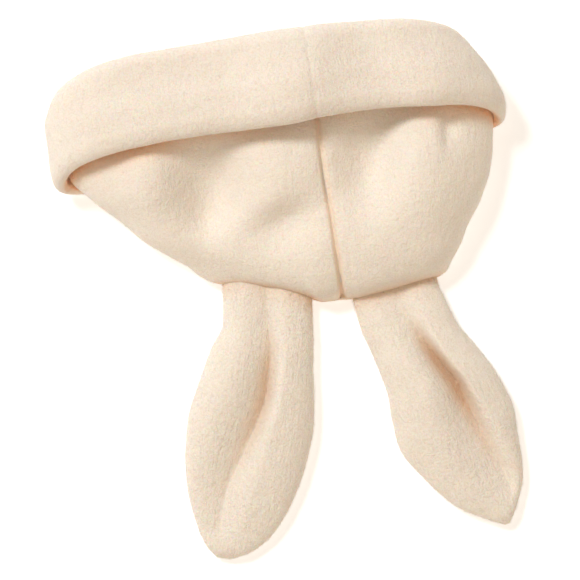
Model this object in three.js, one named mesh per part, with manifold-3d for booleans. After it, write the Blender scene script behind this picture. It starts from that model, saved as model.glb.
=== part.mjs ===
// A baby's hat with two long ears, sewn from thick napped cloth and laid on its back.
// The body is two panels, left and right, joined by a front seam and a back seam. Their lower part is turned up
// outside as a cuff, and each ear is a front and a back layer, caught in the crown seam.
// Millimetres. +X is to the right of the front seam, +Y runs from the crown seam to the opening, and +Z is up.
// The origin is on the surface that the hat lies on, straight under the front seam.

import * as THREE from "three";
import { mergeVertices } from "three/addons/utils/BufferGeometryUtils.js";
import Module from "manifold-3d";

const wasm = await Module();
wasm.setup();

// Driving sizes: cloth
const clothThickness = 3;
const cuffThickness = 3.4;
const hemThickness = 4.4;
const pieceGap = 0.3;
const slantedGap = 0.45;

// Driving sizes: body. The hat lies a little rolled, so the front seam is nearer to its right side.
const cuffLeftReach = 126.3;
const cuffRightReach = 88.6;
const backSeamX = -37.7;
const crownSeamY = -40;
const sideLength = 107;
const bodyHeight = 34;
const seamBow = 14;
const frontLean = 12.4;
const backLean = 6;
const sideLean = -5;

// Driving sizes: cuff
const cuffHeight = 41;
const foldRise = 4.5;
const frontLoft = 9;
const sideLoft = 2.2;
const backLoft = 0.7;

// Driving sizes: ears
const earLeftLength = 120;
const earRightLength = 123;
const earHalfWidth = 30;
const earHeight = 17;
const earRootHeight = 8.6;
const earSplay = 17;
const pleatGentleSide = 26;
const pleatSteepSide = 15;
const earLeftRootX = -35;
const earRightRootX = 25;

// How full the forms are, from 2 for an ellipse upwards: the front's and the rim's sections, the flatter back and the
// cuff's free edge, and the ears. backSpread says how wide the back lies flat.
const frontFullness = 4;
const rimFullness = 4;
const edgeFullness = 6;
const lobeFullness = 2.6;
const backSpread = 1.12;

// How finely the faceted solids are divided
const pointsAround = 60;
const crownSteps = 15;
const cavitySteps = 9;
const foldSteps = 5;
const legSteps = 7;
const earSteps = 24;
const earPoints = 19;

// Cross-sections of the crown, from the crown seam to the rim. along is a share of sideLength, left and right of
// the crown's reaches, top and side of bodyHeight, base of the cuff's layer beneath, bow of seamBow, lean of the
// rim's lean, and slump says how much lower the left half of the front lies.
const crownRows = [
  { along: 0, left: 0.459, right: 0.56, top: 0.241, side: 0.13, base: 0.2, bow: 1, lean: 0, slump: 0 },
  { along: 0.023, left: 0.497, right: 0.609, top: 0.42, side: 0.18, base: 0, bow: 0.93, lean: 0, slump: 0.24 },
  { along: 0.065, left: 0.538, right: 0.64, top: 0.58, side: 0.22, base: 0, bow: 0.85, lean: 0, slump: 0.3 },
  { along: 0.131, left: 0.576, right: 0.7, top: 0.71, side: 0.25, base: 0, bow: 0.7, lean: 0, slump: 0.26 },
  { along: 0.215, left: 0.639, right: 0.761, top: 0.81, side: 0.265, base: 0, bow: 0.5, lean: 0, slump: 0.2 },
  { along: 0.327, left: 0.725, right: 0.859, top: 0.9, side: 0.28, base: 0, bow: 0.3, lean: 0, slump: 0.13 },
  { along: 0.467, left: 0.812, right: 0.94, top: 0.955, side: 0.31, base: 0, bow: 0.1, lean: 0.02, slump: 0.07 },
  { along: 0.579, left: 0.9, right: 0.968, top: 0.985, side: 0.4, base: 0.96, bow: 0, lean: 0.1, slump: 0.04 },
  { along: 0.7, left: 0.976, right: 0.985, top: 1, side: 0.45, base: 1, bow: 0, lean: 0.4, slump: 0.02 },
  { along: 0.86, left: 0.992, right: 0.925, top: 1, side: 0.47, base: 1, bow: 0, lean: 0.75, slump: 0 },
  { along: 1, left: 0.985, right: 0.843, top: 0.985, side: 0.5, base: 1, bow: 0, lean: 1, slump: 0 },
];

// Course of the crown seam across the hat: share of the way from its left end, and rise as a share of seamBow
const seamRows = [
  { across: 0, rise: 1 },
  { across: 0.17, rise: 0.75 },
  { across: 0.4, rise: 0.1 },
  { across: 0.45, rise: -0.09 },
  { across: 0.58, rise: -0.12 },
  { across: 0.62, rise: -0.17 },
  { across: 0.77, rise: -0.07 },
  { across: 1, rise: 0.17 },
];

// Cross-sections of the cuff's outer leg, from the fold to the free edge. down is a share of cuffHeight, left and
// right of the cuff's reaches, and loft says how far the front stands off the crown, as a share of frontLoft.
const cuffRows = [
  { down: 0, left: 0.985, right: 0.868, loft: 0.78, side: 0.48 },
  { down: 0.12, left: 0.998, right: 0.897, loft: 0.84, side: 0.475 },
  { down: 0.3, left: 1, right: 0.938, loft: 0.92, side: 0.47 },
  { down: 0.55, left: 1, right: 0.973, loft: 1.06, side: 0.45 },
  { down: 0.8, left: 1, right: 1, loft: 1.08, side: 0.44 },
  { down: 1, left: 0.976, right: 0.972, loft: 0.55, side: 0.42 },
];

// Hollows and swells of the crown's front. x is a share of the crown's reach on its side, y of sideLength from the
// crown seam, long of sideLength, and so are near and far, the widths to the left and to the right. turn is in
// degrees from +Y, and depth is a share of bodyHeight.
const crownDents = [
  { x: -0.44, y: 0.535, long: 0.2, near: 0.2, far: 0.15, turn: 12, depth: 0.42 },
  { x: -0.485, y: 0.42, long: 0.09, near: 0.09, far: 0.08, turn: 14, depth: 0.13 },
  { x: -0.68, y: 0.6, long: 0.2, near: 0.15, far: 0.14, turn: 14, depth: -0.2 },
  { x: 0.27, y: 0.55, long: 0.2, near: 0.15, far: 0.11, turn: 20, depth: 0.36 },
  { x: 0.38, y: 0.79, long: 0.13, near: 0.12, far: 0.14, turn: 0, depth: 0.18 },
  { x: -0.19, y: 0.35, long: 0.18, near: 0.08, far: 0.12, turn: 76, depth: 0.2 },
  { x: 0.715, y: 0.66, long: 0.1, near: 0.03, far: 0.055, turn: 6, depth: 0.18 },
  { x: -0.2, y: 0.61, long: 0.14, near: 0.13, far: 0.13, turn: 0, depth: -0.06 },
  { x: 0.6, y: 0.46, long: 0.26, near: 0.17, far: 0.15, turn: 14, depth: -0.14 },
];

// The same for the cuff's front, with y as a share of cuffHeight from the free edge
const cuffDents = [
  { x: -0.32, y: 0.55, long: 0.3, near: 0.34, far: 0.12, turn: 0, depth: 0.08 },
  { x: -0.6, y: 0.85, long: 0.12, near: 0.3, far: 0.3, turn: 0, depth: 0.05 },
  { x: -0.05, y: 0.45, long: 0.24, near: 0.2, far: 0.13, turn: 0, depth: -0.15 },
  { x: 0.34, y: 0.6, long: 0.24, near: 0.13, far: 0.1, turn: -14, depth: 0.1 },
  { x: 0.68, y: 0.4, long: 0.16, near: 0.11, far: 0.1, turn: 0, depth: -0.09 },
];

// Cross-sections of each ear from its root. along is a share of the ear's length, inner, outer and fold of
// earHalfWidth, lobe of earHeight, wide of pleatGentleSide, and pleat says how deep the fold runs, as a share of the
// height there.
const earLeftRows = [
  { along: 0, inner: 0.73, outer: 0.69, fold: -0.02, lobe: 0.72, pleat: 0.2, wide: 1 },
  { along: 0.08, inner: 0.76, outer: 0.67, fold: -0.06, lobe: 0.8, pleat: 0.48, wide: 0.95 },
  { along: 0.2, inner: 0.82, outer: 0.81, fold: -0.15, lobe: 0.9, pleat: 0.78, wide: 0.9 },
  { along: 0.34, inner: 0.92, outer: 0.92, fold: -0.16, lobe: 1, pleat: 0.92, wide: 0.9 },
  { along: 0.47, inner: 0.97, outer: 1, fold: -0.06, lobe: 0.98, pleat: 0.88, wide: 0.95 },
  { along: 0.6, inner: 0.93, outer: 0.97, fold: 0.09, lobe: 0.9, pleat: 0.74, wide: 1.1 },
  { along: 0.74, inner: 0.81, outer: 0.86, fold: 0.24, lobe: 0.78, pleat: 0.54, wide: 1.15 },
  { along: 0.87, inner: 0.6, outer: 0.65, fold: 0.26, lobe: 0.62, pleat: 0.3, wide: 1 },
  { along: 0.96, inner: 0.29, outer: 0.43, fold: 0.2, lobe: 0.5, pleat: 0.05, wide: 1 },
  { along: 1, inner: -0.02, outer: 0.24, fold: 0.12, lobe: 0.45, pleat: 0, wide: 1 },
];
const earRightRows = [
  { along: 0, inner: 0.72, outer: 0.7, fold: 0, lobe: 0.6, pleat: 0.15, wide: 0.8 },
  { along: 0.08, inner: 0.76, outer: 0.64, fold: 0.01, lobe: 0.7, pleat: 0.3, wide: 0.75 },
  { along: 0.2, inner: 0.77, outer: 0.64, fold: 0.05, lobe: 0.84, pleat: 0.6, wide: 0.65 },
  { along: 0.34, inner: 0.81, outer: 0.77, fold: 0.17, lobe: 0.98, pleat: 0.93, wide: 0.6 },
  { along: 0.45, inner: 0.93, outer: 0.86, fold: 0.26, lobe: 1, pleat: 0.97, wide: 0.66 },
  { along: 0.57, inner: 1.02, outer: 0.89, fold: 0.26, lobe: 0.94, pleat: 0.86, wide: 0.85 },
  { along: 0.7, inner: 0.88, outer: 0.76, fold: 0.27, lobe: 0.84, pleat: 0.7, wide: 1 },
  { along: 0.85, inner: 0.62, outer: 0.56, fold: 0.3, lobe: 0.68, pleat: 0.48, wide: 0.9 },
  { along: 0.95, inner: 0.26, outer: 0.26, fold: 0.16, lobe: 0.52, pleat: 0.1, wide: 0.8 },
  { along: 1, inner: 0.04, outer: 0.04, fold: 0, lobe: 0.45, pleat: 0, wide: 0.8 },
];

// Share of an ear's length over which its root turns into its own shape, and how far its rounded edges reach in
const rootShare = 0.1;
const bevel = 0.05;

// The hem's round edge, in shares of its thickness: where it starts to narrow, how thick it ends, and how far up the
// cloth it swells
const hemRounding = 0.35;
const hemTip = 0.45;
const hemSpread = 1.5;

// Where the hollow starts, as a share of sideLength, and the heights at which the side seams are cut before and behind
// seamStep, as shares of bodyHeight: each runs through the hollow, so that a cut never lies in the cloth
const cavityStart = 0.075;
const seamStep = 0.16;
const seamHeightLow = 0.13;
const seamHeightHigh = 0.3;

// The value of a table's column at a place between its rows, on a smooth curve through them
function read(rows, key, column, at) {
  let i = rows.findIndex((row) => row[key] > at) - 1;
  if (i < 0) i = at <= rows[0][key] ? 0 : rows.length - 2;
  const slope = (a, b) => (rows[b][column] - rows[a][column]) / (rows[b][key] - rows[a][key]);
  const here = slope(i, i + 1);
  const before = i > 0 ? slope(i - 1, i) : here;
  const after = i < rows.length - 2 ? slope(i + 1, i + 2) : here;
  const ease = (a, b) => (a * b > 0 ? (2 * a * b) / (a + b) : 0);
  const span = rows[i + 1][key] - rows[i][key];
  const t = (at - rows[i][key]) / span;
  const [start, end] = [rows[i][column], rows[i + 1][column]];
  const bend = 2 * t ** 3 - 3 * t ** 2;
  return (
    start * (bend + 1) -
    end * bend +
    span * (t ** 3 - 2 * t ** 2 + t) * ease(before, here) +
    span * (t ** 3 - t ** 2) * ease(here, after)
  );
}

// Closed surface through loops of equally many points, as one solid. With a number of upper points the loops make a
// tube, and each end is closed by a strip between its upper points and the rest. Otherwise they make a ring.
function skin(loops, upperCount) {
  const count = loops[0].length;
  const faces = [];
  const bands = upperCount ? loops.length - 1 : loops.length;
  for (let i = 0; i < bands; i++) {
    const next = ((i + 1) % loops.length) * count;
    for (let j = 0; j < count; j++) {
      const [a, b] = [i * count + j, i * count + ((j + 1) % count)];
      const [c, d] = [next + j, next + ((j + 1) % count)];
      faces.push(a, b, d, a, d, c);
    }
  }
  if (upperCount) {
    const cap = endStrip(upperCount, count - upperCount);
    const last = (loops.length - 1) * count;
    for (const face of cap) faces.push(...face.toReversed(), ...face.map((index) => last + index));
  }
  return solid(loops.flat(), faces);
}

// Faces of a strip between a loop's upper points, 0 onwards, and the rest of its points, which come back below them
function endStrip(upperCount, lowerCount) {
  const strip = [];
  const below = (j) => upperCount + lowerCount - 1 - j;
  let [i, j] = [0, 0];
  while (i < upperCount - 1 || j < lowerCount - 1) {
    const isUpper = (i + 1) / (upperCount - 1) <= (j + 1) / (lowerCount - 1);
    strip.push([i, isUpper ? i + 1 : below(j + 1), below(j)]);
    if (isUpper) i++;
    else j++;
  }
  return strip;
}

// A solid of these points and faces, turned so that its faces point out
function solid(points, faces) {
  const geometry = new THREE.BufferGeometry();
  geometry.setAttribute("position", new THREE.Float32BufferAttribute(points.flat(), 3));
  geometry.setIndex(faces);
  const merged = mergeVertices(geometry, 1e-4);
  const make = (triangles) =>
    new wasm.Manifold(
      new wasm.Mesh({
        numProp: 3,
        vertProperties: merged.attributes.position.array,
        triVerts: new Uint32Array(triangles),
      }),
    );
  const triangles = [...merged.index.array];
  const made = make(triangles);
  return made.volume() > 0 ? made : make(triangles.reverse());
}

// A named mesh of a solid, in the cloth's material
function piece(name, made, material) {
  const { vertProperties, triVerts } = made.getMesh();
  const geometry = new THREE.BufferGeometry();
  geometry.setAttribute("position", new THREE.BufferAttribute(vertProperties, 3));
  geometry.setIndex(new THREE.BufferAttribute(triVerts, 1));
  const mesh = new THREE.Mesh(geometry, material);
  mesh.name = name;
  return mesh;
}

const square = (x) => x * x;
const radians = THREE.MathUtils.degToRad;

// How a ring swells between its sides, where share runs from -1 at the left to 1 at the right
const swell = (share, fullness) => Math.sqrt(Math.max(0, 1 - Math.abs(share) ** fullness));
const frontSwell = (share) => swell(share, frontFullness);
const backSwell = (share) => Math.min(1, backSpread * swell(share, edgeFullness));

// How far the middle of the rim's front or back, or of the cuff's free edge, lies ahead of the sides
const leanAhead = (isFront) => (isFront ? frontLean : -backLean);
const rimLean = (share, isFront) => sideLean + (leanAhead(isFront) - sideLean) * swell(share, rimFullness);
const edgeLean = (share, isFront) => leanAhead(isFront) * swell(share, edgeFullness);

// Depth of all hollows in a table at a point, where reaches are the sizes that x is a share of
function hollow(rows, x, y, reaches, length, unit) {
  let depth = 0;
  for (const row of rows) {
    const [dx, dy] = [x - row.x * (row.x < 0 ? reaches.left : reaches.right), y - row.y * length];
    const turn = radians(row.turn);
    const along = (dy * Math.cos(turn) + dx * Math.sin(turn)) / (row.long * unit);
    const across = dx * Math.cos(turn) - dy * Math.sin(turn);
    const width = (across < 0 ? row.near : row.far) * unit;
    depth += row.depth * Math.exp(-square(along) - square(across / width));
  }
  return depth * bodyHeight;
}

// Points around one cross-section of the body. place gives x, y and z from the share across, and the side in front
// or behind.
function loopAround(place) {
  return Array.from({ length: pointsAround }, (_, j) => {
    const angle = (2 * Math.PI * j) / pointsAround;
    return place(Math.cos(angle), Math.sin(angle) >= 0);
  });
}

const sideStack = cuffThickness + sideLoft;
const backStack = hemThickness + backLoft;
const crownReach = { left: cuffLeftReach - sideStack, right: cuffRightReach - sideStack };
const cuffReach = { left: cuffLeftReach, right: cuffRightReach };

// A point of the crown, at a share of the way up, on its outside or, with a wall, inside it
function crownPoint(along, share, isFront, wall) {
  const at = (column) => read(crownRows, "along", column, along);
  const [left, right] = [at("left") * crownReach.left - wall, at("right") * crownReach.right - wall];
  const x = (right - left) / 2 + (share * (right + left)) / 2;
  const bow = seamBow * at("bow") * read(seamRows, "across", "rise", (1 + share) / 2);
  const y = crownSeamY + along * sideLength + bow + at("lean") * rimLean(share, isFront);
  const side = at("side") * bodyHeight;
  if (!isFront) {
    const base = at("base") * backStack + wall;
    return [x, y, side - (side - base) * backSwell(share)];
  }
  const slump = 1 - at("slump") * square((1 - share) / 2);
  const top = at("top") * bodyHeight * slump - wall;
  const dents = hollow(crownDents, x, y - crownSeamY, crownReach, sideLength, sideLength);
  const dent = dents * square(frontSwell(share));
  return [x, y, side + (top - side - dent) * frontSwell(share)];
}

// The crown, a pouch with its outside and inside joined at the rim
function makeCrown() {
  const ease = (t) => t ** 1.35;
  const outside = Array.from({ length: crownSteps + 1 }, (_, i) => ease(i / crownSteps));
  const inside = Array.from({ length: cavitySteps + 1 }, (_, i) => 1 - (1 - cavityStart) * (i / cavitySteps));
  return skin([
    ...outside.map((along) => loopAround((share, isFront) => crownPoint(along, share, isFront, 0))),
    ...inside.map((along) => loopAround((share, isFront) => crownPoint(along, share, isFront, clothThickness))),
  ], pointsAround / 2 + 1);
}

// Places down the cuff's outer leg where it is drawn, closer together over the hem's round edge
const hemShare = hemThickness / cuffHeight;
const legStations = [
  ...Array.from({ length: legSteps }, (_, i) => ((i + 1) / legSteps) * (1 - hemShare)),
  1 - hemRounding * hemShare,
  1,
];

// Thickness of the cuff's cloth at a place down its outer leg, and what the hem's round edge leaves of it
const fullThickness = (down) => (down < 1 - hemSpread * hemShare ? cuffThickness : hemThickness);
const legThickness = (down) => fullThickness(down) * (down === 1 ? hemTip : 1);

// A point on the middle of the cuff's outer leg, from the fold at 0 to the free edge at 1
function legPoint(down, share, isFront) {
  const at = (column) => read(cuffRows, "down", column, down);
  const half = fullThickness(down) / 2;
  const [left, right] = [at("left") * cuffReach.left - half, at("right") * cuffReach.right - half];
  const x = (right - left) / 2 + (share * (right + left)) / 2;
  const level = crownSeamY + sideLength - down * (cuffHeight - foldRise);
  const y = level + (1 - down) * rimLean(share, isFront) + down * edgeLean(share, isFront);
  const side = at("side") * bodyHeight;
  if (!isFront) return [x, y, side - (side - half) * backSwell(share)];
  const fromEdge = (1 - down) * cuffHeight;
  const dent = hollow(cuffDents, x, fromEdge, cuffReach, cuffHeight, sideLength) * square(frontSwell(share));
  const top = bodyHeight + at("loft") * frontLoft + half - dent;
  return [x, y, side + (top - side) * frontSwell(share)];
}

// Points round the middle of the cuff's cloth as it turns over from the crown's rim to the outer leg
function foldPoint(turn, share, isFront) {
  const start = crownPoint(1, share, isFront, clothThickness / 2);
  const end = legPoint(0, share, isFront);
  const mix = (1 - Math.cos(Math.PI * turn)) / 2;
  const rise = [0, foldRise * Math.sin(Math.PI * turn), 0];
  return start.map((x, k) => x + (end[k] - x) * mix + rise[k]);
}

// The cuff, a ring of cloth that starts at the crown's rim and swells to a soft hem at its free edge
function makeCuff() {
  const foldStations = Array.from({ length: foldSteps }, (_, i) => (i + 1) / foldSteps);
  const middles = [
    ...foldStations.map((turn) => loopAround((share, isFront) => foldPoint(turn, share, isFront))),
    ...legStations.map((down) => loopAround((share, isFront) => legPoint(down, share, isFront))),
  ];
  const thicknesses = [...foldStations.map(() => cuffThickness), ...legStations.map(legThickness)];
  const start = (wall) =>
    loopAround((share, isFront) => {
      const [x, y, z] = crownPoint(1, share, isFront, wall);
      return [x, y + slantedGap, z];
    });
  const last = middles.length - 1;
  const offset = (side) =>
    middles.map((middle, i) =>
      middle.map((p, j) => {
        const [a, b] = [middle[(j + 1) % pointsAround], middle.at(j - 1)];
        const [c, d] = [middles[Math.min(i + 1, last)][j], middles[Math.max(i - 1, 0)][j]];
        const around = new THREE.Vector3(...a).sub(new THREE.Vector3(...b));
        const along = new THREE.Vector3(...c).sub(new THREE.Vector3(...d));
        const normal = around.cross(along).normalize();
        return p.map((x, k) => x + (side * thicknesses[i] * normal.getComponent(k)) / 2);
      }),
    );
  return skin([start(clothThickness), ...offset(1), ...offset(-1).reverse(), start(0)]);
}

// A slab as thin as the gap between two pieces, along Y, with its place in X and Z
function slab(lowX, highX, lowZ, highZ, lowY, highY) {
  const box = new THREE.BoxGeometry(highX - lowX, highY - lowY, highZ - lowZ);
  box.translate((lowX + highX) / 2, (lowY + highY) / 2, (lowZ + highZ) / 2);
  box.deleteAttribute("normal");
  box.deleteAttribute("uv");
  const merged = mergeVertices(box);
  const points = [...Array(merged.attributes.position.count).keys()].map((i) =>
    new THREE.Vector3().fromBufferAttribute(merged.attributes.position, i).toArray(),
  );
  return solid(points, [...merged.index.array]);
}

// Everything cut along the front seam, the back seam and, between the two, inside the hollow. Gives the left panel
// and the right one.
function cutPanels(whole) {
  const far = 3 * sideLength;
  const half = pieceGap / 2;
  const stepY = crownSeamY + seamStep * sideLength;
  const stretches = [
    { from: -far, to: stepY, height: seamHeightLow * bodyHeight },
    { from: stepY - half, to: far, height: seamHeightHigh * bodyHeight },
  ];
  let rest = whole;
  for (const { from, to, height } of stretches) {
    rest = rest
      .subtract(slab(-half, half, height - half, far, from, to))
      .subtract(slab(backSeamX - half, half, height - half, height + half, from, to))
      .subtract(slab(backSeamX - half, backSeamX + half, -far, height + half, from, to));
  }
  const parts = rest.decompose().sort((a, b) => b.volume() - a.volume()).slice(0, 2);
  return parts.sort((a, b) => a.boundingBox().min[0] - b.boundingBox().min[0]);
}

// One ear: its axis runs from the root at the splay angle, and across it inner is the side nearer to the other ear
function makeEar({ rows, length, rootX, side }) {
  const splay = radians(earSplay);
  const axis = [side * Math.sin(splay), -Math.cos(splay)];
  const outward = [side * Math.cos(splay), Math.sin(splay)];
  const floorZ = clothThickness + pieceGap;
  const edgeZ = floorZ + clothThickness / 2;

  // The crown seam's Y over a point, which the ear's root follows
  const seamY = (x) => {
    const [left, right] = [crownRows[0].left * crownReach.left, crownRows[0].right * crownReach.right];
    const across = THREE.MathUtils.clamp((x + left) / (left + right), 0, 1);
    return crownSeamY + seamBow * read(seamRows, "across", "rise", across) - slantedGap;
  };
  const place = (along, reach) => {
    const x = rootX + axis[0] * along * length + outward[0] * reach;
    const y = crownSeamY + axis[1] * along * length + outward[1] * reach;
    const pull = Math.max(0, 1 - along / rootShare);
    return [x, y + (seamY(x) - (crownSeamY + outward[1] * reach)) * pull];
  };
  const across = (along, t) => {
    const [inner, outer] = [read(rows, "along", "inner", along), read(rows, "along", "outer", along)];
    return ((outer - inner) / 2 + (t * (outer + inner)) / 2) * earHalfWidth;
  };

  // Height of the front layer's outside: two lobes with the fold between them
  const top = (along, t) => {
    const at = (column) => read(rows, "along", column, along);
    const toFold = across(along, t) - at("fold") * earHalfWidth;
    const width = toFold * side < 0 ? pleatGentleSide * at("wide") : pleatSteepSide;
    const pleat = at("pleat") * square(1 - Math.min(1, Math.abs(toFold) / width));
    const dome = swell(t, lobeFullness);
    const lobe = Math.max(at("lobe") * earHeight, edgeZ);
    const height = edgeZ + (lobe - edgeZ) * dome * (1 - pleat);
    const root = Math.max(0, 1 - along / rootShare);
    return height + (Math.min(height, earRootHeight) - height) * root;
  };
  const shares = Array.from({ length: earPoints }, (_, j) => Math.sin(Math.PI * (j / (earPoints - 1) - 0.5)));
  const stations = Array.from({ length: earSteps + 1 }, (_, i) => i / earSteps);
  const at = (along, t, z) => [...place(along, across(along, t)), z];
  const flat = shares.filter((_, j) => j % 3 === 0).map((t) => t * (1 - bevel));
  const front = stations.map((along) => [
    ...shares.map((t) => at(along, t, top(along, t))),
    ...flat.map((t) => at(along, t, floorZ)).reverse(),
  ]);
  const back = stations.filter((_, i) => i % 2 === 0).map((along) => [
    at(along, -1, clothThickness / 2),
    ...flat.map((t) => at(along, t, clothThickness)),
    at(along, 1, clothThickness / 2),
    ...flat.map((t) => at(along, t, 0)).reverse(),
  ]);
  return { front: skin(front, earPoints), back: skin(back, flat.length + 2) };
}

const fleece = new THREE.MeshStandardMaterial({ color: 0xf3e2cd, roughness: 0.95, metalness: 0 });
const fleeceInside = new THREE.MeshStandardMaterial({ color: 0xefdcc4, roughness: 0.95, metalness: 0 });

const hat = new THREE.Group();
const [crownLeft, crownRight] = cutPanels(makeCrown());
const [cuffLeft, cuffRight] = cutPanels(makeCuff());
hat.add(piece("crown_left", crownLeft, fleece));
hat.add(piece("crown_right", crownRight, fleece));
hat.add(piece("cuff_left", cuffLeft, fleeceInside));
hat.add(piece("cuff_right", cuffRight, fleeceInside));

const ears = {
  ear_left: makeEar({ rows: earLeftRows, length: earLeftLength, rootX: earLeftRootX, side: -1 }),
  ear_right: makeEar({ rows: earRightRows, length: earRightLength, rootX: earRightRootX, side: 1 }),
};
for (const [name, layers] of Object.entries(ears)) {
  hat.add(piece(name + "_front", layers.front, fleece));
  hat.add(piece(name + "_back", layers.back, fleeceInside));
}

export default hat;
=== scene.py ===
"""A cream baby's hat with two long ears, of thick napped cloth, laid on its back and seen from above.

The hat's frame: +X to the right of the front seam, +Y from the ears to the opening, +Z up. Sizes are in
millimetres until a mesh is made, and a table's lengths are shares of the sizes that they follow.
"""

import math

import bpy
import numpy as np
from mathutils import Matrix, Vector, noise
from mathutils.bvhtree import BVHTree


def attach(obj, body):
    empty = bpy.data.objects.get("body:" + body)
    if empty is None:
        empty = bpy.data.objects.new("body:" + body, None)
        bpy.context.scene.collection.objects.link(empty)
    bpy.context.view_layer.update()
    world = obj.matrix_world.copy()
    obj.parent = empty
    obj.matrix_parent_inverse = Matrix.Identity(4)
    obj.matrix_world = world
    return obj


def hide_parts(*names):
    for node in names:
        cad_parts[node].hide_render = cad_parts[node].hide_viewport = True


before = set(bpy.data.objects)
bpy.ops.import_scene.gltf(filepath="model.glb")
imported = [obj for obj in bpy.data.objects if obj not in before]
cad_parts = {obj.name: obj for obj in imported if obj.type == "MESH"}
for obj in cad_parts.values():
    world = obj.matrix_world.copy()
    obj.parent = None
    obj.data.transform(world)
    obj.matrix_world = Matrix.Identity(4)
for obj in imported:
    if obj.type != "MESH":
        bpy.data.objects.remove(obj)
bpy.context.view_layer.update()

MM = 0.001

# Cloth
CLOTH = 3.0
CUFF_CLOTH = 3.4
HEM = 4.4
SEAM_HALF_WIDTH = 1.15
SEAM_ROLL = 4.5
CROWN_SEAM_DEPTH = 1.85
CUFF_SEAM_DEPTH = 0.3
# Size and height of each kind of soft lump in the cloth
LUMPS = ((44, 0.9), (18, 0.5), (6, 0.16), (2.4, 0.06))
# Cloth lower than this lies on the surface, where it is smooth and its seams are pressed flat
LYING_HEIGHT = 1.2
LYING_LUMPS = -0.1
LYING_SEAM = 0.3
LOWEST = 0.02

# Body
CUFF_LEFT = 126.3
CUFF_RIGHT = 88.6
BACK_SEAM_X = -37.7
CROWN_SEAM_Y = -40.0
SIDE_LENGTH = 107.0
BODY_HEIGHT = 34.0
SEAM_BOW = 14.0
FRONT_LEAN = 12.4
BACK_LEAN = 6.0
SIDE_LEAN = -5.0
CROWN_END = 0.03
CROWN_END_MIDDLE = 4.5
INSIDE_START = 0.075

# Cuff
CUFF_HEIGHT = 41.0
FOLD_RISE = 4.5
FRONT_LOFT = 9.0
SIDE_LOFT = 2.2
BACK_LOFT = 0.7
HEM_WANDER = 0.7
HEM_WAVES = (15.0, 34.0)
HEM_REACH = 9.0
HEM_SIDE_SWELL = 1.6

# Ears
EAR_HALF_WIDTH = 30.0
EAR_HEIGHT = 17.0
EAR_SPLAY = 17.0
PLEAT_GENTLE = 26.0
PLEAT_STEEP = 15.0
EAR_SHAPES = {
    "ear_left": {"length": 120.0, "root_x": -35.0, "side": -1, "root_height": 12.5},
    "ear_right": {"length": 123.0, "root_x": 25.0, "side": 1, "root_height": 9.5},
}
ROOT_SHARE = 0.1
TIP_SHARE = 0.045
TIP_MIDDLE = 3.2
SEWN_IN = 2.0
FOLD_RADIUS = 0.7
EAR_EDGE = 1.5 * CLOTH + 0.3

# Cross-sections of the crown from the crown seam to the rim
CROWN_ROWS = [
    dict(along=0, left=0.459, right=0.56, top=0.241, side=0.13, base=0.2, bow=1, lean=0, slump=0),
    dict(along=0.023, left=0.497, right=0.609, top=0.42, side=0.18, base=0, bow=0.93, lean=0, slump=0.24),
    dict(along=0.065, left=0.538, right=0.64, top=0.58, side=0.22, base=0, bow=0.85, lean=0, slump=0.3),
    dict(along=0.131, left=0.576, right=0.7, top=0.71, side=0.25, base=0, bow=0.7, lean=0, slump=0.26),
    dict(along=0.215, left=0.639, right=0.761, top=0.81, side=0.265, base=0, bow=0.5, lean=0, slump=0.2),
    dict(along=0.327, left=0.725, right=0.859, top=0.9, side=0.28, base=0, bow=0.3, lean=0, slump=0.13),
    dict(along=0.467, left=0.812, right=0.94, top=0.955, side=0.31, base=0, bow=0.1, lean=0.02, slump=0.07),
    dict(along=0.579, left=0.9, right=0.968, top=0.985, side=0.4, base=0.96, bow=0, lean=0.1, slump=0.04),
    dict(along=0.7, left=0.976, right=0.985, top=1, side=0.45, base=1, bow=0, lean=0.4, slump=0.02),
    dict(along=0.86, left=0.992, right=0.925, top=1, side=0.47, base=1, bow=0, lean=0.75, slump=0),
    dict(along=1, left=0.985, right=0.843, top=0.985, side=0.5, base=1, bow=0, lean=1, slump=0),
]
# Course of the crown seam across the hat
SEAM_ROWS = [
    dict(across=0, rise=1),
    dict(across=0.17, rise=0.75),
    dict(across=0.4, rise=0.1),
    dict(across=0.45, rise=-0.09),
    dict(across=0.58, rise=-0.12),
    dict(across=0.62, rise=-0.17),
    dict(across=0.77, rise=-0.07),
    dict(across=1, rise=0.17),
]
# Cross-sections of the cuff's outer leg from the fold to the free edge
CUFF_ROWS = [
    dict(down=0, left=0.985, right=0.868, loft=0.78, side=0.48),
    dict(down=0.12, left=0.998, right=0.897, loft=0.84, side=0.475),
    dict(down=0.3, left=1, right=0.938, loft=0.92, side=0.47),
    dict(down=0.55, left=1, right=0.973, loft=1.06, side=0.45),
    dict(down=0.8, left=1, right=1, loft=1.02, side=0.44),
    dict(down=0.91, left=0.997, right=0.995, loft=0.85, side=0.43),
    dict(down=1, left=0.976, right=0.972, loft=0.5, side=0.42),
]
# Hollows and swells of the crown's front: centre, length, width to either side, turn from +Y, and depth
CROWN_DENTS = [
    dict(x=-0.44, y=0.535, long=0.2, near=0.2, far=0.15, turn=12, depth=0.42),
    dict(x=-0.485, y=0.42, long=0.09, near=0.09, far=0.08, turn=14, depth=0.13),
    dict(x=-0.68, y=0.6, long=0.2, near=0.15, far=0.14, turn=14, depth=-0.2),
    dict(x=0.27, y=0.55, long=0.2, near=0.15, far=0.11, turn=20, depth=0.36),
    dict(x=0.38, y=0.79, long=0.13, near=0.12, far=0.14, turn=0, depth=0.18),
    dict(x=-0.19, y=0.35, long=0.18, near=0.08, far=0.12, turn=76, depth=0.2),
    dict(x=0.715, y=0.66, long=0.1, near=0.03, far=0.055, turn=6, depth=0.18),
    dict(x=-0.2, y=0.61, long=0.14, near=0.13, far=0.13, turn=0, depth=-0.06),
    dict(x=0.6, y=0.46, long=0.26, near=0.17, far=0.15, turn=14, depth=-0.14),
]
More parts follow.
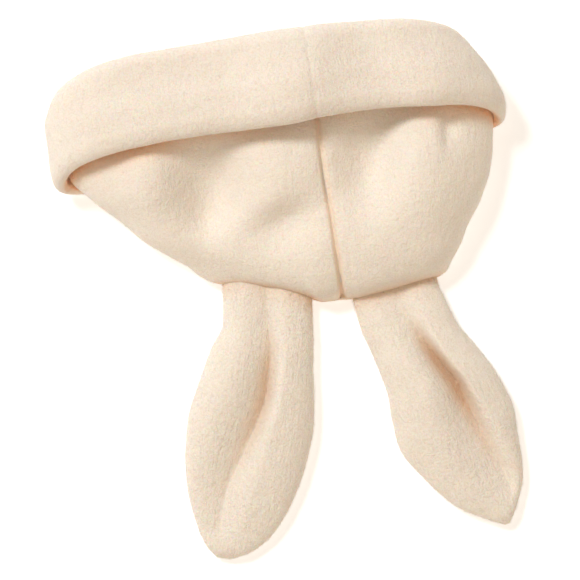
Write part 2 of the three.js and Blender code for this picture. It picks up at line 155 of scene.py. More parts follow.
CUFF_DENTS = [
    dict(x=-0.32, y=0.55, long=0.3, near=0.34, far=0.12, turn=0, depth=0.08),
    dict(x=-0.6, y=0.85, long=0.12, near=0.3, far=0.3, turn=0, depth=0.05),
    dict(x=-0.05, y=0.45, long=0.24, near=0.2, far=0.13, turn=0, depth=-0.15),
    dict(x=0.34, y=0.6, long=0.24, near=0.13, far=0.1, turn=-14, depth=0.1),
    dict(x=0.68, y=0.4, long=0.16, near=0.11, far=0.1, turn=0, depth=-0.09),
]
# Cross-sections of each ear from its root
EAR_ROWS = {
    "ear_left": [
        dict(along=0, inner=0.73, outer=0.69, fold=-0.02, lobe=0.72, pleat=0.35, wide=0.9, steep=0.8),
        dict(along=0.08, inner=0.76, outer=0.67, fold=-0.06, lobe=0.8, pleat=0.62, wide=0.85, steep=0.6),
        dict(along=0.2, inner=0.82, outer=0.81, fold=-0.15, lobe=0.9, pleat=0.86, wide=0.8, steep=0.5),
        dict(along=0.34, inner=0.92, outer=0.92, fold=-0.16, lobe=1, pleat=0.94, wide=0.85, steep=0.5),
        dict(along=0.47, inner=0.97, outer=1, fold=-0.06, lobe=0.98, pleat=0.9, wide=0.95, steep=0.6),
        dict(along=0.6, inner=0.93, outer=0.97, fold=0.09, lobe=0.9, pleat=0.84, wide=1, steep=0.8),
        dict(along=0.74, inner=0.81, outer=0.86, fold=0.24, lobe=0.78, pleat=0.82, wide=1, steep=0.9),
        dict(along=0.87, inner=0.6, outer=0.65, fold=0.26, lobe=0.62, pleat=0.64, wide=0.9, steep=0.9),
        dict(along=0.96, inner=0.29, outer=0.43, fold=0.2, lobe=0.5, pleat=0.05, wide=1, steep=1),
        dict(along=1, inner=-0.02, outer=0.24, fold=0.12, lobe=0.45, pleat=0, wide=1, steep=1),
    ],
    "ear_right": [
        dict(along=0, inner=0.72, outer=0.7, fold=0, lobe=0.6, pleat=0.25, wide=0.7, steep=0.8),
        dict(along=0.08, inner=0.76, outer=0.64, fold=0.01, lobe=0.7, pleat=0.45, wide=0.65, steep=0.6),
        dict(along=0.2, inner=0.77, outer=0.64, fold=0.05, lobe=0.84, pleat=0.74, wide=0.6, steep=0.42),
        dict(along=0.34, inner=0.81, outer=0.77, fold=0.17, lobe=0.98, pleat=1, wide=0.6, steep=0.28),
        dict(along=0.45, inner=0.93, outer=0.86, fold=0.26, lobe=1, pleat=1.02, wide=0.7, steep=0.32),
        dict(along=0.57, inner=1.02, outer=0.89, fold=0.26, lobe=0.94, pleat=0.97, wide=0.88, steep=0.5),
        dict(along=0.7, inner=0.88, outer=0.76, fold=0.27, lobe=0.84, pleat=0.96, wide=0.92, steep=0.7),
        dict(along=0.85, inner=0.62, outer=0.56, fold=0.3, lobe=0.68, pleat=0.84, wide=0.85, steep=0.75),
        dict(along=0.95, inner=0.26, outer=0.26, fold=0.16, lobe=0.52, pleat=0.1, wide=0.8, steep=1),
        dict(along=1, inner=0.04, outer=0.04, fold=0, lobe=0.45, pleat=0, wide=0.8, steep=1),
    ],
}
# Underside of each ear from its edge to its middle: share of its half width, and height
UNDER_ROWS = [
    dict(share=0.995, height=3.7),
    dict(share=0.985, height=3.2),
    dict(share=1.0, height=2.6),
    dict(share=0.992, height=1.4),
    dict(share=0.965, height=0.5),
    dict(share=0.9, height=0.12),
    dict(share=0.6, height=0.05),
    dict(share=0.2, height=0.05),
]


def read(rows, key, column, at):
    """A table's column at places between its rows, on a smooth curve through them."""
    keys = np.array([row[key] for row in rows], float)
    values = np.array([row[column] for row in rows], float)
    slopes = np.diff(values) / np.diff(keys)
    before, after = slopes[:-1], slopes[1:]
    same = before * after > 0
    total = np.where(same, before + after, 1)
    inner = np.where(same, 2 * before * after / total, 0)
    tangents = np.concatenate([slopes[:1], inner, slopes[-1:]])
    at = np.asarray(at, float)
    i = np.clip(np.searchsorted(keys, at, side="right") - 1, 0, len(keys) - 2)
    span = keys[i + 1] - keys[i]
    t = (at - keys[i]) / span
    bend = 2 * t**3 - 3 * t**2
    rise = values[i] * (bend + 1) - values[i + 1] * bend
    return rise + span * ((t**3 - 2 * t**2 + t) * tangents[i] + (t**3 - t**2) * tangents[i + 1])


def swell(share, power):
    """From 1 in the middle of a section to 0 at its sides, the more squarely the higher the power."""
    return np.sqrt(np.clip(1 - np.abs(share) ** power, 0, 1))


def front_swell(share):
    return swell(share, 4)


def back_swell(share):
    """Flat underneath, with a soft turn up to the sides."""
    raw = 1.12 * swell(share, 6)
    sharpness = 30
    limited = np.log1p(np.exp((1 - raw) * sharpness)) / sharpness
    near_middle = np.clip(raw * 6, 0, 1)
    return 1 - limited * near_middle - (1 - raw) * (1 - near_middle)


def rim_lean(share):
    """How far the rim's front and back lie ahead of its sides."""
    return SIDE_LEAN + (np.where(IS_FRONT, FRONT_LEAN, -BACK_LEAN) - SIDE_LEAN) * front_swell(share)


def edge_lean(share):
    """The same for the cuff's free edge."""
    return np.where(IS_FRONT, FRONT_LEAN, -BACK_LEAN) * swell(share, 6)


def hollow(rows, x, y, reaches, length, unit):
    """Depth of all hollows in a table at a point."""
    depth = 0
    for row in rows:
        dx = x - row["x"] * reaches[0 if row["x"] < 0 else 1]
        dy = y - row["y"] * length
        turn = math.radians(row["turn"])
        along = (dy * math.cos(turn) + dx * math.sin(turn)) / (row["long"] * unit)
        across = dx * math.cos(turn) - dy * math.sin(turn)
        across = across / (np.where(across < 0, row["near"], row["far"]) * unit)
        depth = depth + row["depth"] * np.exp(-(along**2) - across**2)
    return depth * BODY_HEIGHT


SIDE_STACK = CUFF_CLOTH + SIDE_LOFT
BACK_STACK = HEM + BACK_LOFT
CROWN_REACH = (CUFF_LEFT - SIDE_STACK, CUFF_RIGHT - SIDE_STACK)
CUFF_REACH = (CUFF_LEFT, CUFF_RIGHT)

# Places round a cross-section run from 1 at the right side to -1 at the left, over the front, and then back
# underneath. They lie closer together near the seams, and follow the seams through all cross-sections.
FRONT_SEAM_PLACE = 0.2
BACK_SEAM_PLACE = -0.25
SEAM_BAND = 0.045


def places(count, seam, close):
    """Places over the front or the back, with this many more near the seam."""
    around = np.cos(np.linspace(0, math.pi, count + 1))
    near = seam + np.linspace(-SEAM_BAND, SEAM_BAND, close)
    around = around[(around > near[-1]) | (around < near[0])]
    return np.sort(np.concatenate([around, near]))[::-1]


FRONT_PLACES = places(200, FRONT_SEAM_PLACE, 24)
BACK_PLACES = places(110, BACK_SEAM_PLACE, 16)[::-1][1:-1]
PLACES = np.concatenate([FRONT_PLACES, BACK_PLACES])
IS_FRONT = np.arange(len(PLACES)) < len(FRONT_PLACES)


def across_section(left, right):
    """X and share of each place round a section that reaches this far left and right."""
    middle, half = (right - left) / 2, (right + left) / 2
    shares = []
    for seam_place, seam_x in ((FRONT_SEAM_PLACE, 0.0), (BACK_SEAM_PLACE, BACK_SEAM_X)):
        seam_share = (seam_x - middle) / half
        low = -1 + (PLACES + 1) / (seam_place + 1) * (seam_share + 1)
        high = 1 - (1 - PLACES) / (1 - seam_place) * (1 - seam_share)
        shares.append(np.where(PLACES < seam_place, low, high))
    share = np.where(IS_FRONT, shares[0], shares[1])
    return middle + share * half, share


def crown_loop(along, wall):
    """Points round one cross-section of the crown, on its outside or, with a wall, inside it."""
    at = {column: float(read(CROWN_ROWS, "along", column, along)) for column in CROWN_ROWS[0]}
    x, share = across_section(at["left"] * CROWN_REACH[0] - wall, at["right"] * CROWN_REACH[1] - wall)
    bow = SEAM_BOW * at["bow"] * read(SEAM_ROWS, "across", "rise", (1 + share) / 2)
    y = CROWN_SEAM_Y + along * SIDE_LENGTH + bow + at["lean"] * rim_lean(share)
    side = at["side"] * BODY_HEIGHT
    base = at["base"] * BACK_STACK + wall
    slump = 1 - at["slump"] * ((1 - share) / 2) ** 2
    top = at["top"] * BODY_HEIGHT * slump - wall
    dent = hollow(CROWN_DENTS, x, y - CROWN_SEAM_Y, CROWN_REACH, SIDE_LENGTH, SIDE_LENGTH)
    front = side + (top - side - dent * front_swell(share) ** 2) * front_swell(share)
    back = side - (side - base) * back_swell(share)
    return np.stack([x, y, np.where(IS_FRONT, front, back)], -1)


def full_thickness(down, share):
    """The cuff's cloth swells to its hem, most where the hem turns round the hat's sides."""
    edge = (1 - down) * CUFF_HEIGHT
    swelling = (HEM - CUFF_CLOTH) * (1 + HEM_SIDE_SWELL * np.abs(share) ** 9)
    return CUFF_CLOTH + swelling * math.exp(-((edge / HEM_REACH) ** 2))


def leg_thickness(down, share):
    """What the hem's round edge leaves of the cloth's thickness."""
    swollen = full_thickness(down, share)
    radius = swollen / 2
    edge = np.minimum((1 - down) * CUFF_HEIGHT, radius)
    return swollen * np.sqrt(1 - (1 - edge / radius) ** 2 * 0.94)


def leg_loop(down):
    """Points round the middle of the cuff's outer leg."""
    at = {column: float(read(CUFF_ROWS, "down", column, down)) for column in CUFF_ROWS[0]}
    half = full_thickness(down, PLACES) / 2
    x, share = across_section(at["left"] * CUFF_LEFT - half, at["right"] * CUFF_RIGHT - half)
    level = CROWN_SEAM_Y + SIDE_LENGTH - down * (CUFF_HEIGHT - FOLD_RISE)
    wander = HEM_WANDER * np.sin(x / HEM_WAVES[0] + np.sin(x / HEM_WAVES[1]))
    y = level + (1 - down) * rim_lean(share) + down * (edge_lean(share) + wander)
    side = at["side"] * BODY_HEIGHT
    from_edge = (1 - down) * CUFF_HEIGHT
    dent = hollow(CUFF_DENTS, x, from_edge, CUFF_REACH, CUFF_HEIGHT, SIDE_LENGTH)
    top = BODY_HEIGHT + at["loft"] * FRONT_LOFT + half - dent * front_swell(share) ** 2
    front = side + (top - side) * front_swell(share)
    back = side - (side - half) * back_swell(share)
    return np.stack([x, y, np.where(IS_FRONT, front, back)], -1)


def fold_loop(turn):
    """Points round the middle of the cuff's cloth as it turns over from the crown's rim to the outer leg."""
    start, end = crown_loop(1, CLOTH / 2), leg_loop(0)
    mix = (1 - math.cos(math.pi * turn)) / 2
    rise = np.array([0, FOLD_RISE * math.sin(math.pi * turn), 0])
    onward = (leg_loop(0.02) - end) / 0.02 + np.array([0, CUFF_HEIGHT - FOLD_RISE, 0])
    run_on = turn**2 * (turn - 1) * math.pi * FOLD_RISE / (CUFF_HEIGHT - FOLD_RISE)
    return start + (end - start) * mix + rise + onward * run_on


def normals_of(grid):
    """Unit normals of a grid of loops, each closed on itself."""
    around = np.roll(grid, -1, 1) - np.roll(grid, 1, 1)
    along = np.gradient(grid, axis=0)
    normal = np.cross(along, around)
    length = np.linalg.norm(normal, axis=-1, keepdims=True)
    return normal / np.maximum(length, 1e-9)


def grain(grid, size, seed):
    """Soft noise from -1 to 1 at each point of a grid, with lumps of about this size."""
    offset = Vector((seed * 17.3, seed * 5.1, seed * 9.7))
    flat = [noise.noise(Vector(p) / size + offset) for p in grid.reshape(-1, 3).tolist()]
    return np.array(flat).reshape(grid.shape[:2])


def puckers(grid, seed):
    """Height of the cloth's small unevenness over a grid."""
    return sum(height * grain(grid, size, seed + k) for k, (size, height) in enumerate(LUMPS))


def seam_groove(x, is_front, depth):
    """How far the cloth is drawn in along the front and back seams, with a soft roll on either side."""
    away = np.abs(x - np.where(is_front, 0.0, BACK_SEAM_X))
    return depth * (np.exp(-((away / SEAM_HALF_WIDTH) ** 2)) + 0.45 * np.exp(-((away / SEAM_ROLL) ** 2)))


def worked_skin(skin, outward, height, groove):
    """A skin of the cloth, moved outward by its lumps and inward by its seams."""
    is_under = skin[..., 2] < LYING_HEIGHT
    height = np.where(is_under, LYING_LUMPS, height) - groove * np.where(is_under, LYING_SEAM, 1)
    moved = skin + outward * height[..., None]
    moved[..., 2] = np.maximum(moved[..., 2], LOWEST)
    return moved


def mesh_object(name, points, faces, material):
    """A smooth mesh from points in millimetres and faces of any number of corners."""
    mesh = bpy.data.meshes.new(name)
    points = np.asarray(points, np.float32).reshape(-1, 3) * MM
    mesh.vertices.add(len(points))
    mesh.vertices.foreach_set("co", points.ravel())
    sizes = np.array([len(face) for face in faces])
    corners = np.concatenate(faces)
    mesh.loops.add(len(corners))
    mesh.loops.foreach_set("vertex_index", corners.astype(np.int32))
    mesh.polygons.add(len(sizes))
    starts = np.concatenate([[0], np.cumsum(sizes)[:-1]])
    mesh.polygons.foreach_set("loop_start", starts.astype(np.int32))
    mesh.polygons.foreach_set("use_smooth", np.ones(len(sizes), bool))
    mesh.update(calc_edges=True)
    mesh.validate()
    mesh.materials.append(material)
    obj = bpy.data.objects.new(name, mesh)
    bpy.context.scene.collection.objects.link(obj)
    return obj


def tube_quads(rows, count, is_ring=False):
    """Faces between neighbouring loops of points, facing out where the loops turn left round the axis."""
    i, j = np.meshgrid(np.arange(rows if is_ring else rows - 1), np.arange(count), indexing="ij")
    after, beside = (i + 1) % rows, (j + 1) % count
    quads = np.stack([i * count + j, after * count + j, after * count + beside, i * count + beside], -1)
    return quads.reshape(-1, 4)


def end_strip(start, upper, lower, is_flipped):
    """Faces across the end of a tube, between its upper points and the points that come back below them."""
    faces = []
    i, j = 0, 0
    while i < upper - 1 or j < lower - 1:
        is_upper = (i + 1) / (upper - 1) <= (j + 1) / (lower - 1)
        below = upper + lower - 1 - j
        third = i + 1 if is_upper else below - 1
        face = [start + i, start + third, start + below]
        faces.append(face[::-1] if is_flipped else face)
        if is_upper:
            i += 1
        else:
            j += 1
    return faces


def close_tube(grid, upper):
    """Points and faces of a tube of loops with both of its ends closed."""
    rows, count = grid.shape[:2]
    quads = tube_quads(rows, count).tolist()
    quads += end_strip(0, upper, count - upper, False)
    quads += end_strip((rows - 1) * count, upper, count - upper, True)
    return grid.reshape(-1, 3), quads


# Materials
STREAK_LENGTH = 6.0
PATCH_SCALE = 70
FLECK_SCALE = 1150
# Bumps of the nap: noise scale, detail, depth in millimetres, and whether it is drawn out into streaks
BUMPS = ((430, 3, 0.46, False), (600, 2, 0.4, True), (1150, 4, 0.36, False))
CREAMS = ((0.95, 0.89, 0.82), (0.92, 0.85, 0.77))
# Painted shade: the cuff's creams and fleck are a little darker than the crown's, to even out the stronger
# light that falls on the raised cuff
CUFF_DIMMED_CREAMS = ((0.91, 0.85, 0.78), (0.88, 0.81, 0.735))
# Painted shade: darker, warmer colours mixed into the cloth where it is enclosed, in folds, pleats and
# creases and under the cuff
FOLD_SHADE_PEACH = (0.92, 0.55, 0.32)
EAR_FOLD_SHADE_PEACH = (0.76, 0.53, 0.36)
CROWN_FLECK = (0.84, 0.73, 0.6)
CUFF_DIMMED_FLECK = (0.81, 0.7, 0.57)
EAR_FLECK = (0.82, 0.705, 0.57)
# Colour sockets of a Mix node, which it lists under names that it has twice
MIX_LOW = 6
MIX_HIGH = 7
MIX_RESULT = 2


def add_node(tree, kind, **values):
    made = tree.nodes.new(kind)
    for key, value in values.items():
        if key in made.inputs:
            made.inputs[key].default_value = value
        else:
            setattr(made, key, value)
    return made


def noise_node(tree, scale, detail, roughness=0.5, turn=None):
    """Noise of this scale, drawn out into streaks at this turn from the Y axis if one is given."""
    made = add_node(tree, "ShaderNodeTexNoise", Scale=scale, Detail=detail, Roughness=roughness)
    coordinates = add_node(tree, "ShaderNodeTexCoord").outputs["Object"]
    if turn is not None:
        mapping = add_node(tree, "ShaderNodeMapping", vector_type="TEXTURE")
        mapping.inputs["Rotation"].default_value = (0, 0, math.radians(turn))
        mapping.inputs["Scale"].default_value = (1, STREAK_LENGTH, 1)
        tree.links.new(coordinates, mapping.inputs["Vector"])
        coordinates = mapping.outputs["Vector"]
    tree.links.new(coordinates, made.inputs["Vector"])
    return made.outputs["Fac"]


def mixed_colour(tree, factor, low, high):
    """A mix of two colours, each given in numbers or as a node's output."""
    mix = add_node(tree, "ShaderNodeMix", data_type="RGBA")
    tree.links.new(factor, mix.inputs[0])
    for socket, colour in ((MIX_LOW, low), (MIX_HIGH, high)):
        if isinstance(colour, tuple):
            mix.inputs[socket].default_value = (*colour, 1)
        else:
            tree.links.new(colour, mix.inputs[socket])
    return mix.outputs[MIX_RESULT]


def cloth_colour(tree, open_colours, painted_shade_colour):
    """Cream with soft patches, mixed towards a painted shade colour where the cloth is enclosed: painted
    shade in folds, pleats and creases and under the cuff.
    """
    patches = mixed_colour(tree, noise_node(tree, PATCH_SCALE, 3), *open_colours)
    # Painted shade: how much of the shade colour to mix in, from how far the cloth is enclosed
    painted_shade = add_node(tree, "ShaderNodeAttribute", attribute_name="painted_shade")
    return mixed_colour(tree, painted_shade.outputs["Fac"], patches, painted_shade_colour)


def matt_material(name, roughness):
    """A matt material, its node tree and its shader."""
    material = bpy.data.materials.new(name)
    material.use_nodes = True
    tree = material.node_tree
    shader = tree.nodes["Principled BSDF"]
    shader.inputs["Roughness"].default_value = roughness
    shader.inputs["Specular IOR Level"].default_value = 0.1
    return material, tree, shader


def fleece_material(name, open_colours, painted_shade_colour, fleck, turn, lumpiness):
    """Napped cloth with fine flecks, a lumpy nap, a velvety sheen and painted shade where it is enclosed in
    folds.
    """
    material, tree, shader = matt_material(name, 0.95)
    shader.inputs["Sheen Weight"].default_value = 0.25
    shader.inputs["Sheen Roughness"].default_value = 0.6
    shader.inputs["Sheen Tint"].default_value = (1, 0.95, 0.88, 1)
    shader.inputs["Subsurface Weight"].default_value = 0.4
    shader.inputs["Subsurface Radius"].default_value = (1.0, 0.5, 0.25)
    shader.inputs["Subsurface Scale"].default_value = 1.6 * MM

    flecks = add_node(tree, "ShaderNodeMapRange")
    flecks.inputs["From Min"].default_value = 0.45
    flecks.inputs["From Max"].default_value = 0.75
    flecks.inputs["To Max"].default_value = 0.75
    tree.links.new(noise_node(tree, FLECK_SCALE, 3, 0.6), flecks.inputs["Value"])
    cloth = cloth_colour(tree, open_colours, painted_shade_colour)
    tree.links.new(mixed_colour(tree, flecks.outputs["Result"], cloth, fleck), shader.inputs["Base Color"])

    before = None
    for scale, detail, depth, is_streaked in BUMPS:
        bump = add_node(tree, "ShaderNodeBump", Distance=depth * lumpiness * MM)
        bump.inputs["Strength"].default_value = 1.0
        height = noise_node(tree, scale, detail, 0.6, turn if is_streaked else None)
        tree.links.new(height, bump.inputs["Height"])
        if before:
            tree.links.new(before.outputs["Normal"], bump.inputs["Normal"])
        before = bump
    tree.links.new(before.outputs["Normal"], shader.inputs["Normal"])
    return material


def nap_material(open_colours, painted_shade_colour):
    """The fibres of the nap, with the same painted shade in folds as the cloth they stand on."""
    material, tree, shader = matt_material("nap", 0.9)
    shader.inputs["Sheen Weight"].default_value = 0.3
    tree.links.new(cloth_colour(tree, open_colours, painted_shade_colour), shader.inputs["Base Color"])
    return material


FLEECE = fleece_material("fleece", CREAMS, FOLD_SHADE_PEACH, CROWN_FLECK, 0, 1.0)
EAR_FLEECES = {
    name: fleece_material("fleece_" + name, CREAMS, EAR_FOLD_SHADE_PEACH, EAR_FLECK, shape["side"] * EAR_SPLAY, 1.35)
    for name, shape in EAR_SHAPES.items()
}
FLEECE_CUFF = fleece_material("fleece_cuff", CUFF_DIMMED_CREAMS, FOLD_SHADE_PEACH, CUFF_DIMMED_FLECK, 0, 0.9)
NAP = nap_material(CREAMS, EAR_FOLD_SHADE_PEACH)

# Pieces


def make_crown():
    """The crown, a pouch that is open at its rim."""
    along = np.linspace(0, 1, 151) ** 1.25
    outside = np.stack([crown_loop(place, 0) for place in along])
    from_end = np.clip(along / CROWN_END, 0, 1)[:, None]
    round_end = np.sqrt(1 - (1 - from_end) ** 2 * 0.85)
    outside[..., 2] = CROWN_END_MIDDLE + (outside[..., 2] - CROWN_END_MIDDLE) * round_end
    height = puckers(outside, 1) * np.clip(along / 0.05, 0.15, 1)[:, None]
    groove = seam_groove(outside[..., 0], IS_FRONT, CROWN_SEAM_DEPTH)
    outside = worked_skin(outside, normals_of(outside), height, groove)
    inside = np.stack([crown_loop(place, CLOTH) for place in np.linspace(1, INSIDE_START, 42)])
    points, faces = close_tube(np.concatenate([outside, inside]), len(FRONT_PLACES))
    return mesh_object("crown", points, faces, FLEECE)


def make_cuff():
    """The cuff, from the crown's rim over the fold and down to its free edge, and back up its inner face."""
    turns = np.linspace(0, 1, 19)
    downs = np.concatenate([np.linspace(0, 0.93, 58)[1:], 1 - 0.07 * (1 - np.linspace(0, 1, 12)[1:]) ** 1.6])
    middles = np.stack([fold_loop(turn) for turn in turns] + [leg_loop(down) for down in downs])
    thickness = np.concatenate([
        np.full((len(turns), len(PLACES)), CUFF_CLOTH),
        [leg_thickness(down, PLACES) for down in downs],
    ])
    thickness[0] = CLOTH
    normal = normals_of(middles)
    groove = seam_groove(middles[..., 0], IS_FRONT, CUFF_SEAM_DEPTH)
    from_rim = np.minimum(np.arange(len(middles)) / 7, 1)[:, None]
    skins = []
    for side, seed in ((1, 5), (-1, 9)):
        skin = middles + side * normal * thickness[..., None] / 2
        skins.append(worked_skin(skin, side * normal, puckers(skin, seed) * from_rim, groove))
    loops = np.concatenate([skins[0], skins[1][::-1]])
    quads = tube_quads(*loops.shape[:2], is_ring=True)
    return mesh_object("cuff", loops, quads, FLEECE_CUFF)


def seam_y(x):
    """The crown seam's Y over a point, which the ears' roots follow."""
    left = CROWN_ROWS[0]["left"] * CROWN_REACH[0]
    right = CROWN_ROWS[0]["right"] * CROWN_REACH[1]
    across = np.clip((x + left) / (left + right), 0, 1)
    return CROWN_SEAM_Y + SEAM_BOW * read(SEAM_ROWS, "across", "rise", across)


def make_ear(name, seed):
    """An ear of two layers, puffed in front with a pleat that starts in the crown seam."""
    rows, shape = EAR_ROWS[name], EAR_SHAPES[name]
    side, length = shape["side"], shape["length"]
    splay = math.radians(EAR_SPLAY)
    axis = np.array([side * math.sin(splay), -math.cos(splay)])
    outward = np.array([side * math.cos(splay), math.sin(splay)])
    along = np.linspace(0, 1, 171)[:, None]
    across = np.sin(np.linspace(-math.pi / 2, math.pi / 2, 181))[None]
    at = {column: read(rows, "along", column, along) for column in rows[0]}
    tip = np.sqrt(1 - (1 - np.clip((1 - along) / TIP_SHARE, 0, 1)) ** 2 * 0.9)

    def reach(share):
        """How far outward from the ear's axis a share of its width lies."""
        return ((at["outer"] - at["inner"]) / 2 + share * (at["outer"] + at["inner"]) / 2) * EAR_HALF_WIDTH

    def place(share, z):
        """Points along the ear at a share of its width, with its root drawn into the crown seam."""
        z = TIP_MIDDLE + (z - TIP_MIDDLE) * tip
        out = reach(share)
        x = shape["root_x"] + axis[0] * along * length + outward[0] * out
        y = CROWN_SEAM_Y + axis[1] * along * length + outward[1] * out
        pull = np.clip(1 - along / ROOT_SHARE, 0, 1)
        y = y + (seam_y(x) + SEWN_IN - (CROWN_SEAM_Y + outward[1] * out)) * pull
        return np.stack([x, y, np.broadcast_to(z, x.shape)], -1)

    to_fold = reach(across) - at["fold"] * EAR_HALF_WIDTH
    width = np.where(to_fold * side < 0, PLEAT_GENTLE * at["wide"], PLEAT_STEEP * at["steep"])
    away = np.sqrt(to_fold**2 + FOLD_RADIUS**2) / width
    pleat = at["pleat"] * np.clip(1 - away, 0, 1) ** 2
    dome = swell(across, 2.6)
    lobe = np.maximum(at["lobe"] * EAR_HEIGHT, EAR_EDGE)
    height = EAR_EDGE + (lobe - EAR_EDGE) * dome * (1 - pleat)
    root = np.clip(1 - along / (ROOT_SHARE / 2), 0, 1)
    height = height + (np.minimum(height, shape["root_height"]) - height) * root
    top = place(across, height)
    top[..., 2] += puckers(top, seed) * np.clip(along / 0.03, 0.1, 1) * (0.35 + 0.65 * dome)
    to_middle = [(row["share"], row["height"]) for row in UNDER_ROWS]
    from_middle = [(-share, height) for share, height in reversed(to_middle)]
    under = np.concatenate([place(np.full((1, 1), share), z) for share, z in to_middle + from_middle], 1)
    loops = np.concatenate([top, under], 1)
    points, faces = close_tube(loops, top.shape[1])
    if side < 0:
        faces = [face[::-1] for face in faces]
    return mesh_object(name, points, faces, EAR_FLEECES[name])


CLEARANCE = 0.3 * MM
# Painted shade in folds: rays measure how far cloth encloses each point, and the materials darken and warm
# the colour by it
SHADE_RAY_REACH = 18 * MM
RAY_COUNT = 20
RAY_SPREAD = 0.85
MEASURE_STEP = 3
SMOOTHING_ROUNDS = 70
SHADE_START_ENCLOSED = 0.03
FULL_SHADE_SPAN = 0.38


def rays_around(count):
    """Directions in a wide cone round +Z."""
    turn = np.arange(count) * math.pi * (3 - math.sqrt(5))
    out = RAY_SPREAD * np.sqrt((np.arange(count) + 0.5) / count)
    return np.stack([out * np.cos(turn), out * np.sin(turn), np.sqrt(1 - out**2)], -1)


def smoothed(mesh, values):
    """The values at a mesh's vertices, each moved halfway to its neighbours' mean, several times."""
    edges = np.empty(len(mesh.edges) * 2, np.int32)
    mesh.edges.foreach_get("vertices", edges)
    first, second = edges.reshape(-1, 2).T
    count = len(values)
    neighbours = np.bincount(edges, minlength=count)
    for _ in range(SMOOTHING_ROUNDS):
        sums = np.bincount(first, values[second], count) + np.bincount(second, values[first], count)
        values = (values + sums / neighbours) / 2
    return values


def set_painted_shade(mesh, values):
    """Stores the values that the materials read as how much painted shade to mix in, by how far the cloth is
    enclosed.
    """
    attribute = mesh.attributes.new("painted_shade", "FLOAT", "POINT")
    attribute.data.foreach_set("value", values.astype(np.float32))


def mark_painted_shade(cloths):
    """Measures at the vertices how much of the space before them cloth fills, from 0 in the open to 1, and
    stores it as the amount of painted shade.
    """
    points, faces = [], []
    for cloth in cloths:
        first = len(points)
        points += [vertex.co.copy() for vertex in cloth.data.vertices]
        faces += [[first + corner for corner in polygon.vertices] for polygon in cloth.data.polygons]
    tree = BVHTree.FromPolygons(points, faces)
    rays = rays_around(RAY_COUNT)
    for cloth in cloths:
        known = np.arange(0, len(cloth.data.vertices), MEASURE_STEP)
        values = []
        for index in known.tolist():
            vertex = cloth.data.vertices[index]
            side = vertex.normal.orthogonal().normalized()
            basis = np.array([side, vertex.normal.cross(side), vertex.normal])
            start = vertex.co + vertex.normal * CLEARANCE
            hits = [tree.ray_cast(start, ray, SHADE_RAY_REACH)[3] for ray in rays @ basis]
            closeness = [1 - distance / SHADE_RAY_REACH for distance in hits if distance is not None]
            values.append(sum(closeness) / len(rays))
        values = smoothed(cloth.data, np.interp(np.arange(len(cloth.data.vertices)), known, values))
        set_painted_shade(cloth.data, np.clip((values - SHADE_START_ENCLOSED) / FULL_SHADE_SPAN, 0, 1))


crown = make_crown()
cuff = make_cuff()
ear_left = make_ear("ear_left", 21)
ear_right = make_ear("ear_right", 31)
mark_painted_shade([crown, cuff, ear_left, ear_right])

for piece, nodes, slot in (
    (crown, ("crown_left", "crown_right"), "fleece"),
    (cuff, ("cuff_left", "cuff_right"), "fleece_cuff"),
    (ear_left, ("ear_left_front", "ear_left_back"), "fleece"),
    (ear_right, ("ear_right_front", "ear_right_back"), "fleece"),
):
    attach(piece, "root")
    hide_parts(*nodes)

# Nap
FIBRE_LENGTHS = (0.8, 1.7)
FIBRE_RADII = (0.035, 0.065)
FIBRE_CORNERS = (0, 2.094, 4.189)
FIBRE_FACES = ((0, 1, 3), (1, 2, 3), (2, 0, 3), (0, 2, 1))
ROOT_DEPTH = 0.15


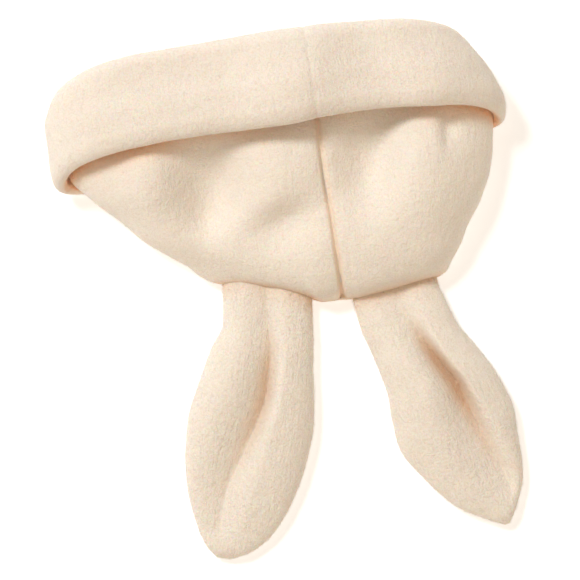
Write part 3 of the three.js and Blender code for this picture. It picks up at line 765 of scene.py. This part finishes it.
def make_nap(name, cloth, count, seed):
    """Fine fibres that stand on a piece of cloth, each a closed three-sided spike, with fewer underneath."""
    random = np.random.default_rng(seed)
    mesh = cloth.data
    mesh.calc_loop_triangles()
    triangles = np.empty(len(mesh.loop_triangles) * 3, np.int32)
    mesh.loop_triangles.foreach_get("vertices", triangles)
    corners = np.empty(len(mesh.vertices) * 3, np.float32)
    mesh.vertices.foreach_get("co", corners)
    corners = corners.reshape(-1, 3)[triangles.reshape(-1, 3)] / MM
    cross = np.cross(corners[:, 1] - corners[:, 0], corners[:, 2] - corners[:, 0])
    area = np.linalg.norm(cross, axis=1)
    normal = cross / np.maximum(area, 1e-9)[:, None]
    centre = corners.mean(1)
    weight = area * np.where(centre[:, 2] < 1.5, 0.02, 1) * np.where(normal[:, 2] < -0.3, 0.3, 1)
    chosen = random.choice(len(area), count, p=weight / weight.sum())
    u, v = random.random(count), random.random(count)
    u, v = np.where(u + v > 1, 1 - u, u), np.where(u + v > 1, 1 - v, v)
    a, b, c = (corners[chosen, k] for k in range(3))
    root = a + (b - a) * u[:, None] + (c - a) * v[:, None]
    up = normal[chosen]
    lean = random.normal(size=(count, 3))
    lean -= up * (lean * up).sum(1)[:, None]
    lean /= np.maximum(np.linalg.norm(lean, axis=1), 1e-6)[:, None]
    stand = random.uniform(0.25, 0.95, count)[:, None]
    length = random.uniform(*FIBRE_LENGTHS, count)[:, None]
    direction = up * stand + lean * np.sqrt(1 - stand**2)
    sideways = np.cross(direction, up + 0.01)
    sideways /= np.maximum(np.linalg.norm(sideways, axis=1), 1e-6)[:, None]
    third = np.cross(direction, sideways)
    radius = random.uniform(*FIBRE_RADII, count)[:, None]
    root = root - up * ROOT_DEPTH
    tip = root + direction * length
    tip[:, 2] = np.maximum(tip[:, 2], LOWEST)
    ring = [root + radius * (math.cos(t) * sideways + math.sin(t) * third) for t in FIBRE_CORNERS]
    points = np.stack([*ring, tip], 1)
    points[..., 2] = np.maximum(points[..., 2], LOWEST / 2)
    first = np.arange(count)[:, None, None] * 4
    faces = (first + np.array(FIBRE_FACES)[None]).reshape(-1, 3)
    nap = mesh_object(name, points, faces, NAP)
    # Each fibre takes the painted shade of the cloth at its root
    painted_shade = np.empty(len(mesh.vertices), np.float32)
    mesh.attributes["painted_shade"].data.foreach_get("value", painted_shade)
    set_painted_shade(nap.data, np.repeat(painted_shade[triangles.reshape(-1, 3)[chosen, 0]], 4))
    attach(nap, "root")


make_nap("nap_crown", crown, 42000, 101)
make_nap("nap_cuff", cuff, 42000, 102)
make_nap("nap_ear_left", ear_left, 20000, 103)
make_nap("nap_ear_right", ear_right, 20000, 104)

# Floor, light and camera
PHOTO_TURN = math.radians(8.6)
PHOTO_CENTRE = (-24.0, -33.3)
PHOTO_WIDTH = 270.3
SENSOR = 36.0
CAMERA_HEIGHT = 1400.0
MIDDLE_HEIGHT = 20.0
FLOOR_REACH = 3000.0
FLOOR_GREYS = ((0.9, 0.9, 0.9), (0.92, 0.92, 0.92))
STUDIO_COLOUR = (1, 0.86, 0.7, 1)
STUDIO_STRENGTH = 0.42


def make_floor():
    material, tree, shader = matt_material("floor", 0.9)
    tree.links.new(mixed_colour(tree, noise_node(tree, 25, 2), *FLOOR_GREYS), shader.inputs["Base Color"])
    shader.inputs["Emission Color"].default_value = (1, 1, 1, 1)
    shader.inputs["Emission Strength"].default_value = 0.4
    corners = [(x * FLOOR_REACH, y * FLOOR_REACH, 0) for x, y in ((-1, -1), (1, -1), (1, 1), (-1, 1))]
    floor = mesh_object("floor", corners, [[0, 1, 2, 3]], material)


def photo_direction(right, up, out):
    """A direction given in the photo's own axes, in the hat's frame."""
    turn = -PHOTO_TURN
    x = right * math.cos(turn) - up * math.sin(turn)
    y = right * math.sin(turn) + up * math.cos(turn)
    return Vector((x, y, out)).normalized()


def make_light(name, direction, distance, size, power, colour):
    """A square lamp that shines on the middle of the photo."""
    data = bpy.data.lights.new(name, "AREA")
    data.size = size
    data.energy = power
    data.color = colour
    light = bpy.data.objects.new(name, data)
    light.location = direction * distance + Vector((*PHOTO_CENTRE, 0)) * MM
    light.rotation_euler = direction.to_track_quat("Z", "Y").to_euler()
    bpy.context.scene.collection.objects.link(light)


def make_world():
    world = bpy.data.worlds.new("studio")
    world.use_nodes = True
    background = world.node_tree.nodes["Background"]
    background.inputs["Color"].default_value = STUDIO_COLOUR
    background.inputs["Strength"].default_value = STUDIO_STRENGTH
    bpy.context.scene.world = world


def make_camera():
    """A camera straight above the hat, turned as the photo is."""
    data = bpy.data.cameras.new("camera")
    data.sensor_width = SENSOR
    data.lens = SENSOR * (CAMERA_HEIGHT - MIDDLE_HEIGHT) / PHOTO_WIDTH
    data.clip_end = 10
    camera = bpy.data.objects.new("camera", data)
    camera.location = Vector((*PHOTO_CENTRE, CAMERA_HEIGHT)) * MM
    camera.rotation_euler = (0, 0, -PHOTO_TURN)
    bpy.context.scene.collection.objects.link(camera)
    bpy.context.scene.camera = camera


make_floor()
make_light(
    "key", photo_direction(-0.66, 0.68, 1.05), distance=3.0, size=0.65, power=56.5, colour=(0.99, 1, 1)
)
make_light(
    "fill", photo_direction(0.25, -0.65, 1.0), distance=1.6, size=1.2, power=5.4, colour=(1, 0.82, 0.62)
)
make_world()
make_camera()
bpy.context.scene.view_settings.view_transform = "Standard"
